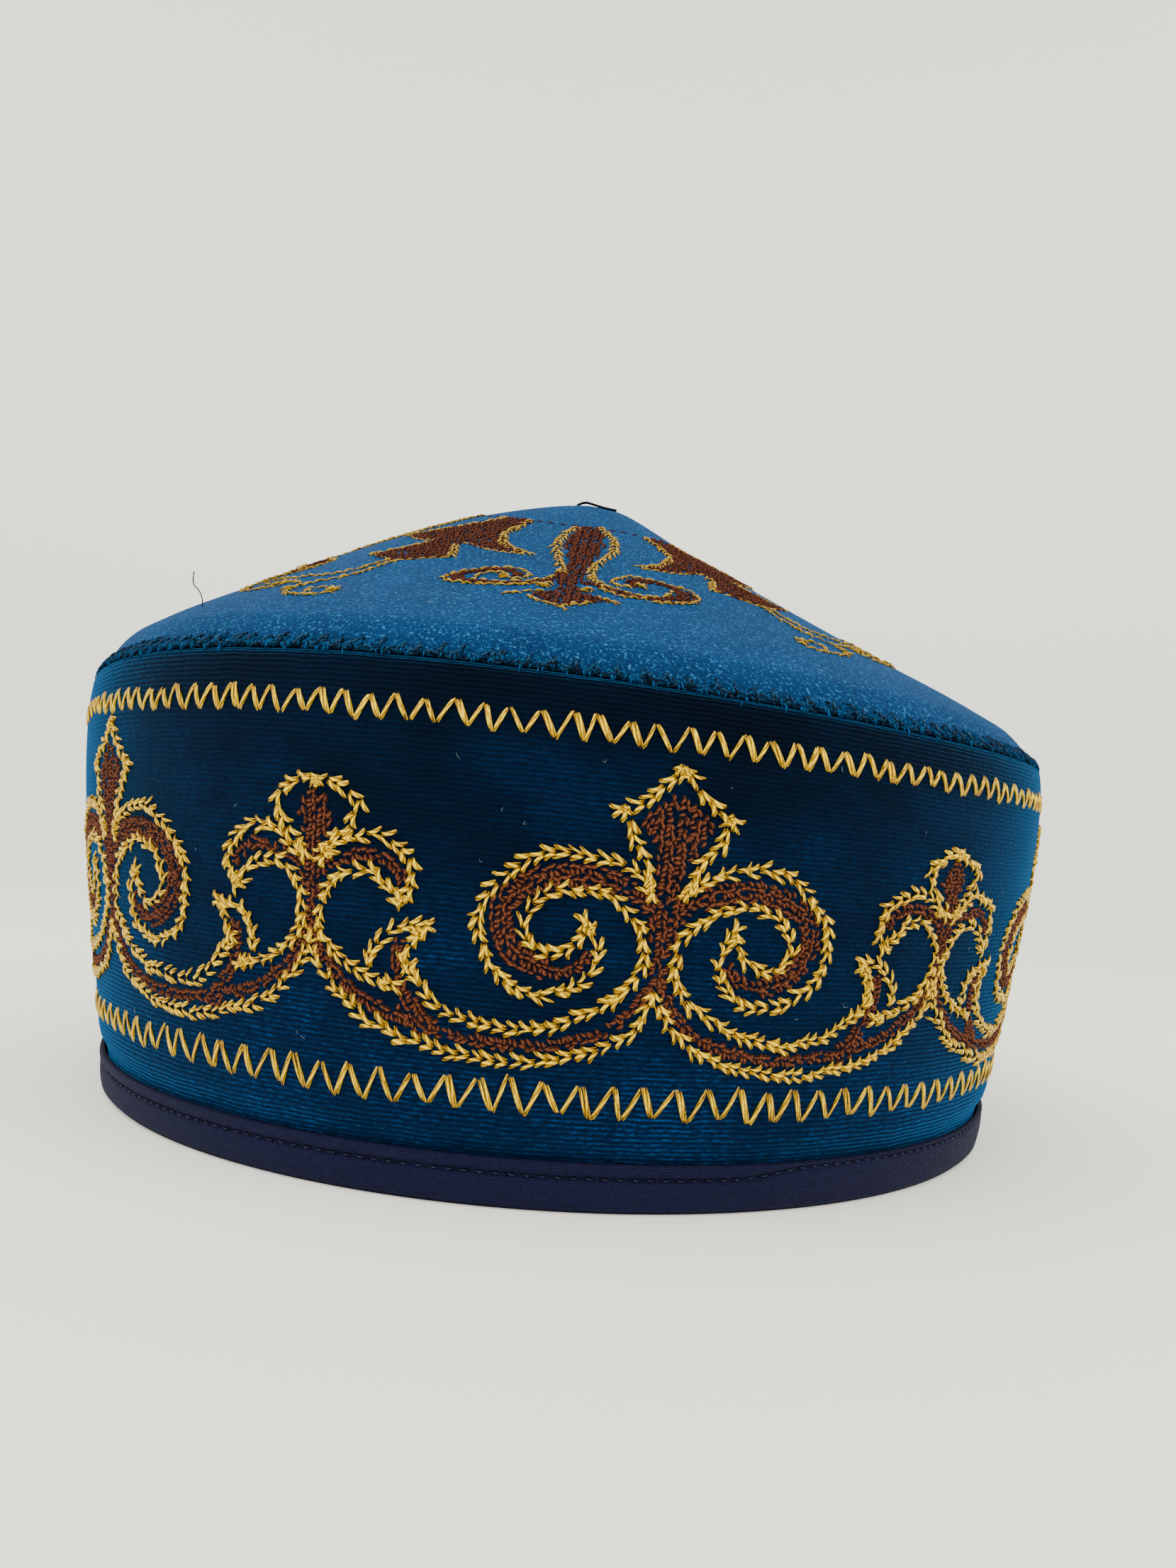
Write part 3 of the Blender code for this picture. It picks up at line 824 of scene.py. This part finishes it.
# Two rows of zigzag in the same gold frame the pattern. Each leg is a pair of strands that
# lie side by side or part a little; the legs going down are steeper than those going up.
ZIGZAGS = (
    ("upper_zigzag", 153, 0.0682, 0.0727, 0.44),
    ("lower_zigzag", 125, 0.0139, 0.0196, 0.45),
)
for name, count, low, high, fall in ZIGZAGS:
    pitch = 2.0 * math.pi * CHART_RADIUS / count
    peak = (np.arange(count) + 0.07 * random.standard_normal(count)) * pitch
    foot = (np.arange(count) + fall + 0.06 * random.standard_normal(count)) * pitch
    top = high + 0.00025 * random.standard_normal(count)
    bottom = low + 0.00025 * random.standard_normal(count)
    legs = []
    next_peak = np.append(peak[1:], peak[0] + count * pitch)
    for x1, y1, x2, y2 in ((peak, top, foot, bottom), (foot, bottom, next_peak, np.roll(top, -1))):
        for strand in (-1.0, 1.0):
            part = strand * (0.00011 + 0.0002 * random.random(count) ** 3)
            off = 0.00008 * random.standard_normal((4, count))
            bow = strand * 0.00016 * random.random(count)
            legs.append(np.column_stack([
                x1 + part + off[0], y1 + off[1], x2 + 0.6 * part + off[2], y2 + off[3], bow,
                0.00058 * (1.0 + 0.12 * random.standard_normal(count)), 0.00012 * random.random(count)]))
    zigzag = laid_stitches(name, on_band, np.concatenate(legs), gold_thread)
    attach(zigzag, "root")


# The crown's pattern alternates vases that hang from the apex with horned stars between
# them. A vase's chart is in millimetres, to the right of its axis and out from the apex.
VASE_AXES = (0.0, 78.0, 147.0, 216.0, 288.0)
STAR_AXES = (37.3, 112.0, 180.0, 252.0, 326.0)
FRONT_VASE = -92.4
VASE_GOLD = [
    [(-2, 26), (-3.6, 31.7), (-4.6, 37.7), (-4.7, 43.1), (-3.8, 48.9), (-2.8, 54), (-2, 59.1)],
    [(2.6, 24), (4.5, 28.5), (6.2, 33), (6.5, 38.5), (5.6, 45), (4.3, 50.9), (3.4, 55.4), (3.2, 59.4),
     (3.9, 62.7), (5.5, 65)],
]
VASE_THIN_GOLD = [
    [(-9.8, 77), (-7.2, 74.9), (-4.8, 73.5)],
    [(-5.7, 77.4), (-4.4, 78.9), (-2.4, 81), (-0.7, 82), (-0.3, 82.7)],
    [(5.5, 72.7), (6.5, 74), (7.9, 74.9)],
    [(0.4, 82), (2.2, 80), (3.8, 77.9)],
    [(-3.5, 67.8), (-6.7, 69.9), (-11.8, 70.9), (-16.1, 71.1), (-18.8, 70.1), (-21.3, 67.6), (-20.5, 64),
     (-18.7, 62.1), (-15.9, 60.5), (-13.7, 59.6), (-11, 59.5), (-9, 60.5), (-7.5, 63.4), (-8.6, 66),
     (-10.7, 66)],
    [(-3, 63.1), (-4.8, 65.4), (-8, 68.1), (-12.2, 69.2), (-15.5, 68.5), (-16.3, 66.6), (-16.1, 64.6),
     (-15.1, 63.1), (-13, 62.9)],
    [(5.7, 67.7), (9.3, 70), (11.4, 69.7), (14.1, 69.2), (16.5, 68.6), (19, 67.3), (21.3, 64.5), (22.9, 61),
     (21.7, 57.2), (19.8, 55.7), (17.8, 56.1), (15.2, 55.4), (12.4, 55.8), (10.2, 56.2), (8.3, 58.9),
     (7.3, 61.1), (8.3, 63), (9.7, 62.8)],
    [(6.3, 65.2), (8.8, 66.6), (11.3, 67.3), (13.4, 67.2), (15.8, 65.7), (17.1, 63.6), (17.4, 61.4)],
]
VASE_KNOTS = [(-3.9, 69.8, 1.5), (3.1, 69.8, 1.5), (12.5, 61.2, 1.3), (-11.7, 65.2, 1.2), (-2.2, 60, 0.8)]
VASE_BODY = [(-1.8, 25.5), (-3, 34.5), (-2.9, 41.2), (-1.7, 49.7), (-0.9, 55.5), (-1, 59.5), (-3.1, 60.4),
             (-2.8, 64.5), (-1.6, 68), (-1.5, 71.9), (-3.5, 73.5), (-6.3, 76.4), (-4.3, 77.2), (-2, 79.6),
             (0.1, 82), (2.1, 79.3), (4.1, 77.2), (7.9, 74.5), (5.5, 72.7), (2.6, 72.2), (1.6, 68),
             (1.7, 63.8), (2.6, 59.1), (1.8, 58.5), (2.8, 53.4), (3.5, 46.9), (4.4, 38.7), (3.7, 30.7),
             (2.8, 23.8)]
VASE_ARMS = [
    [(-2.5, 65.2, 0.8), (-4.3, 66.4, 0.8), (-6.9, 68.6, 0.7), (-9.7, 69.6, 0.6), (-12.3, 69.8, 0.6),
     (-14.8, 69.7, 0.7), (-16.9, 69.2, 0.9), (-18.9, 68.3, 1.1), (-20, 66.6, 1.2), (-19.2, 64.8, 1.1),
     (-17.7, 62.8, 0.9), (-15.8, 61.2, 0.8), (-13.4, 60.4, 0.7), (-11.5, 60.8, 0.6), (-9.8, 62.1, 0.5),
     (-8.9, 63.6, 0.4), (-10, 65.1, 0.3)],
    [(2, 64.8, 0.8), (4.9, 65.4, 0.7), (7.1, 67.2, 0.7), (9.9, 68.2, 0.7), (12.7, 68.4, 0.7),
     (15.3, 67.5, 0.9), (17.8, 66.2, 1.3), (19.6, 63.9, 1.7), (21, 60.7, 1.6), (19.8, 58.9, 1.2),
     (18.4, 57.3, 0.9), (16.5, 56.5, 0.7), (13.8, 57.2, 0.6), (11.6, 58, 0.5), (10.4, 59.9, 0.5),
     (11.5, 61.5, 0.4)],
]
STAR_LONG_SIDE = [(3.4, 25), (4.3, 29), (5.3, 33.5), (7, 38), (10.5, 42), (14.5, 44.5), (19.6, 45.7)]
STAR_SHORT_SIDE = [(3.4, 24.5), (4.3, 27.5), (5.5, 30.5), (7.5, 33), (10, 35.5), (12.5, 37.3), (15, 38.5)]
STAR_SKIRT = [(3.8, 47), (5, 49.5), (7, 52), (9.3, 55)]
STAR_LONG_EDGE = [(19.6, 46), (15, 47.5), (10, 47.5), (6.5, 46), (3.5, 45.5)]
STAR_SHORT_EDGE = [(15, 39), (12, 42), (8.5, 44), (5.5, 44.5), (3.5, 45)]
STAR_END = [(9.3, 55.2), (6.5, 57), (3.5, 58.7), (0.5, 60)]
SWIRL = [
    [(-1.2, 60), (-1.5, 64), (-2.4, 68.2), (-5, 70.6), (-9.5, 71.2), (-14.5, 70.8), (-19.5, 70.8),
     (-23, 73), (-21.5, 76.5), (-17, 78.8), (-12.5, 79.2), (-10.5, 77.3), (-11.5, 75.2), (-15, 75.6)],
    [(0.9, 60), (1, 64), (1.4, 69), (0.6, 73), (-1.8, 76.5), (-3, 80), (-1.8, 83.3), (2, 85.6), (6.2, 85.8),
     (9, 84), (8.8, 81.2), (6.2, 80), (3.2, 80.8), (4, 83)],
    [(-5.2, 77), (-8.5, 75.3), (-12.3, 74)],
]
SWIRL_KNOTS = [(-2.6, 82, 1.3), (-21.8, 74.5, 1.0), (8.6, 82.5, 1.1), (-11.2, 77, 0.8)]
STAR_LEANS = (-1.0, 1.0, -1.0, 1.0, 1.0)
SWIRL_REACHES = (0.86, 1.0, 0.95, 0.9, 1.0)
SWIRL_START = SWIRL[0][0][1]
RING_RADIUS = 0.0247


def crown_chart(points, axis, hand=1.0):
    """Millimetres right of a motif's axis and out from the apex to the crown's plan."""
    points = np.asarray(points, float)
    angle = math.radians(FRONT_VASE + axis)
    u, v = hand * points[:, 0:1] * MM, points[:, 1:2] * MM
    flat = v * (math.cos(angle), math.sin(angle)) + u * (-math.sin(angle), math.cos(angle))
    return np.column_stack([flat, points[:, 2:] * MM])


def outward(axis):
    """Unit direction out from the apex along a motif's axis, in plan."""
    angle = math.radians(FRONT_VASE + axis)
    return math.cos(angle), math.sin(angle)


FEATHERED = {"pitch": 0.00135, "reach": 0.0019, "opening": 0.0018, "width": 0.00044}
SLENDER = {"pitch": 0.002, "reach": 0.0024, "opening": 0.001, "width": 0.0004}
fine_brown = thread_material("fine brown embroidery thread", "#0A0201", "#280D04", "#552614", 0.8, 0.08)
fine_gold = thread_material("fine gold embroidery thread", "#1C1000", "#8E6600", "#E4B808", 0.4, 0.2, 0.4)
gold, brown = [], []
for axis in VASE_AXES:
    gold += [chain(crown_chart(line, axis), **FEATHERED) for line in VASE_GOLD]
    gold += [chain(crown_chart(line, axis), **SLENDER) for line in VASE_THIN_GOLD]
    gold += [knot(crown_chart([place], axis)[0, :2], place[2] * MM, width=0.00044) for place in VASE_KNOTS]
    brown.append(fill_patch(crown_chart(VASE_BODY, axis), outward(axis)))
    brown += [fill_ribbon(crown_chart(arm, axis)) for arm in VASE_ARMS]
for axis, lean, reach in zip(STAR_AXES, STAR_LEANS, SWIRL_REACHES):
    star = []
    for hand, side, edge in (
        (lean, STAR_LONG_SIDE, STAR_LONG_EDGE),
        (-lean, STAR_SHORT_SIDE, STAR_SHORT_EDGE),
    ):
        gold += [chain(crown_chart(line, axis, hand), **FEATHERED) for line in (side, STAR_SKIRT)]
        gold += [running(crown_chart(line, axis, hand), 0.0019, 0.0004) for line in (edge, STAR_END)]
        half = crown_chart(side + edge[1:] + STAR_SKIRT + STAR_END[1:], axis, hand)
        star.append(half if hand == lean else half[::-1])
    brown.append(fill_patch(np.concatenate(star), outward(axis)))
    for line in SWIRL:
        drawn = [(x, SWIRL_START + reach * (y - SWIRL_START)) for x, y in line]
        gold.append(chain(crown_chart(drawn, axis, lean), **SLENDER))
    for x, y, size in SWIRL_KNOTS:
        middle = crown_chart([(x, SWIRL_START + reach * (y - SWIRL_START))], axis, lean)
        gold.append(knot(middle[0], size * MM, width=0.0004))
around = np.radians(np.arange(0, 366, 6))
ring_route = RING_RADIUS * np.stack([np.cos(around), np.sin(around)], -1)
brown.append(running(ring_route, 0.0026, 0.0004, 0.00012))
for name, sets, thread, fine in (
    ("crown_gold", gold, fine_gold, {"steps": 4, "sides": 4}),
    ("crown_brown", brown, fine_brown, {"steps": 3, "sides": 4, "flatness": 0.6}),
):
    work = laid_stitches(name, on_crown, np.concatenate(sets), thread, **fine)
    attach(work, "root")


# The crown is joined to the band with an overlock seam from the inside: its dark thread bites
# into the crown's edge as small notches, and tufts of the pile stand over the join.
SEAM_NOTCHES = 192
SEAM_BAND_HEIGHTS = BAND_HEIGHT - np.linspace(0.0, 0.02, 41)


def on_seam(across, rise):
    """Seam chart: arc length, and the distance from the join, up the crown or down the band."""
    def point(a, d):
        angle = FRONT + a / CHART_RADIUS
        down = np.concatenate([[0.0], np.cumsum(np.hypot(np.diff(wall_radius(SEAM_BAND_HEIGHTS)),
                                                         np.diff(SEAM_BAND_HEIGHTS)))])
        band = band_point(angle, np.interp(np.clip(-d, 0.0, None), down, SEAM_BAND_HEIGHTS))
        crown = crown_point(angle, 1.0 - np.clip(d, 0.0, None) / (1.14 * RIM_RADIUS))
        return np.where(d[..., None] > 0.0, crown, band)
    return with_normal(point, across, rise)


dark_thread = thread_material("dark teal overlock thread", "#00040B", "#021326", "#0B3B5C", 0.8, 0.1)
tuft_velvet = thread_material("velvet pile tuft", "#01182F", "#03355E", "#10588E", 0.9, 0.03)
step = 2.0 * math.pi * CHART_RADIUS / SEAM_NOTCHES
notch = (np.arange(SEAM_NOTCHES) + 0.12 * random.standard_normal(SEAM_NOTCHES)) * step


def bite(shift, low, high, slant, width, spread=0.0003):
    """One stitch at each notch, from a low to a high place on the seam, leaning sideways."""
    loose = spread * random.standard_normal((5, SEAM_NOTCHES))
    return np.column_stack([notch + shift + loose[0], low + loose[1], notch + shift + slant + loose[2],
                            high + loose[3], 0.6 * loose[4], width * (1.0 + 400.0 * loose[0]),
                            np.full(SEAM_NOTCHES, 0.00008)])


# Bites to either side of each notch, and last a cord that closes the join all the way round.
bites = [
    bite(-0.0004, -0.0008, 0.0012, 0.0004, 0.0007), bite(0.0004, -0.0008, 0.0009, -0.0003, 0.0007),
    bite(0.0001, 0.0, 0.0017, 0.0003, 0.00045), bite(0.0012, -0.0012, -0.0004, 0.0012, 0.00042),
    bite(-0.0014, -0.0008, -0.001, 0.0013, 0.00042),
]
cord = np.arange(SEAM_NOTCHES) * step
each = np.ones(SEAM_NOTCHES)
bites.append(np.column_stack([cord, -0.0001 * each, cord + 1.3 * step, -0.0001 * each, 0.0 * each,
                              0.0013 * each, -0.0006 * each]))
overlock = laid_stitches("overlock_seam", on_seam, np.concatenate(bites), dark_thread, steps=4, sides=4)
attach(overlock, "root")

TUFTS = 3600
where = random.random(TUFTS) * 2.0 * math.pi * CHART_RADIUS
beside = np.abs((where / step + 0.5) % 1.0 - 0.5) * 2.0
root = 0.0007 - 0.0008 * beside + 0.0006 * random.standard_normal(TUFTS)
long = (0.0005 + 0.0008 * random.random(TUFTS)) * (0.6 + 0.9 * beside)
tufts = np.column_stack([
    where, root, where + 0.0003 * random.standard_normal(TUFTS), root - long,
    0.0001 * random.standard_normal(TUFTS),
    0.0002 + 0.0002 * random.random(TUFTS), 0.00003 + 0.00014 * random.random(TUFTS)])
fringe = laid_stitches("pile_fringe", on_seam, tufts, tuft_velvet, steps=3, sides=4)
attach(fringe, "root")


# The tape is topstitched in the groove with navy thread, in stitches that sink into it.
def on_tape(across, height):
    """Tape chart: arc length at the hem's radius, and height on the flaring side."""
    return with_normal(lambda a, h: turned(FRONT + a / HEM_RADIUS, flare(h), h), across, height)


TAPE_STITCHES = 260
step = 2.0 * math.pi * HEM_RADIUS / TAPE_STITCHES
start = np.arange(TAPE_STITCHES) * step
groove = BINDING_HEIGHT - strip_width(FRONT + start / HEM_RADIUS)
navy_thread = thread_material("navy sewing thread", "#010108", "#050718", "#1C2050", 0.6, 0.2)
topstitch = laid_stitches("tape_topstitch", on_tape, np.column_stack([
    start, groove, start + 0.66 * step, np.append(groove[1:], groove[0]), 0.0 * start,
    np.full(TAPE_STITCHES, 0.0004), np.full(TAPE_STITCHES, -0.0001)]), navy_thread, steps=4, sides=4)
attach(topstitch, "root")


# What handling leaves: an uncut end of dark thread on the apex, another standing up at the
# left of the crown, and short pale fibres caught in the pile.
def loose_thread(name, points, radius):
    """A thin thread through points in space: a smooth curve with a round section, made a mesh."""
    route = bpy.data.curves.new(name, "CURVE")
    route.dimensions = "3D"
    route.bevel_depth = radius
    route.bevel_resolution = 1
    route.resolution_u = 8
    route.use_fill_caps = True
    spline = route.splines.new("NURBS")
    spline.points.add(len(points) - 1)
    spline.points.foreach_set("co", np.column_stack([points, np.ones(len(points))]).ravel())
    spline.order_u = 3
    spline.use_endpoint_u = True
    drawn = bpy.data.objects.new(name, route)
    bpy.context.scene.collection.objects.link(drawn)
    mesh = bpy.data.meshes.new_from_object(drawn.evaluated_get(bpy.context.evaluated_depsgraph_get()))
    bpy.data.objects.remove(drawn, do_unlink=True)
    mesh.materials.clear()
    mesh.materials.append(dark_thread)
    thread = bpy.data.objects.new(name, mesh)
    bpy.context.scene.collection.objects.link(thread)
    return thread


# Degrees round the apex, share of the rim radius and millimetres above the crown.
APEX_THREAD = [(186, 0.056, 0.1), (188, 0.046, 0.9), (196, 0.034, 0.6), (225, 0.022, 0.25),
               (275, 0.026, 0.25), (300, 0.038, 0.3)]
SIDE_THREAD = [(-138, 0.885, -0.4), (-138, 0.885, 1.2), (-138.5, 0.89, 3.2), (-139.5, 0.9, 5.2),
               (-139, 0.9, 7.2)]
for name, route, radius in (("apex_thread", APEX_THREAD, 0.0003), ("side_thread", SIDE_THREAD, 0.0001)):
    turned_to, share, lift = np.array(route, float).T
    points = crown_point(np.radians(turned_to), share)
    points[:, 2] += lift * MM
    thread = loose_thread(name, points, radius)
    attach(thread, "root")

pale_lint = thread_material("pale lint", "#4E6A80", "#8498A8", "#BCC8D0", 0.7, 0.2)
for name, surface, count, low, high in (("band_lint", on_band, 80, 0.012, 0.076),
                                        ("crown_lint", on_crown, 24, 0.03, 0.09)):
    angle = random.random(count) * 2.0 * math.pi
    reach = low + (high - low) * random.random(count)
    place = np.stack([angle * CHART_RADIUS, reach], -1)
    if surface is on_crown:
        place = reach[:, None] * np.stack([np.cos(angle), np.sin(angle)], -1)
    way = random.random(count) * 2.0 * math.pi
    half = (0.0002 + 0.0005 * random.random(count) ** 2)[:, None] * np.stack([np.cos(way), np.sin(way)], -1)
    lint = laid_stitches(name, surface, np.column_stack([
        place - half, place + half, 0.0003 * random.standard_normal(count),
        np.full(count, 0.00006), np.full(count, 0.00012)]), pale_lint, steps=5, sides=4)
    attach(lint, "root")
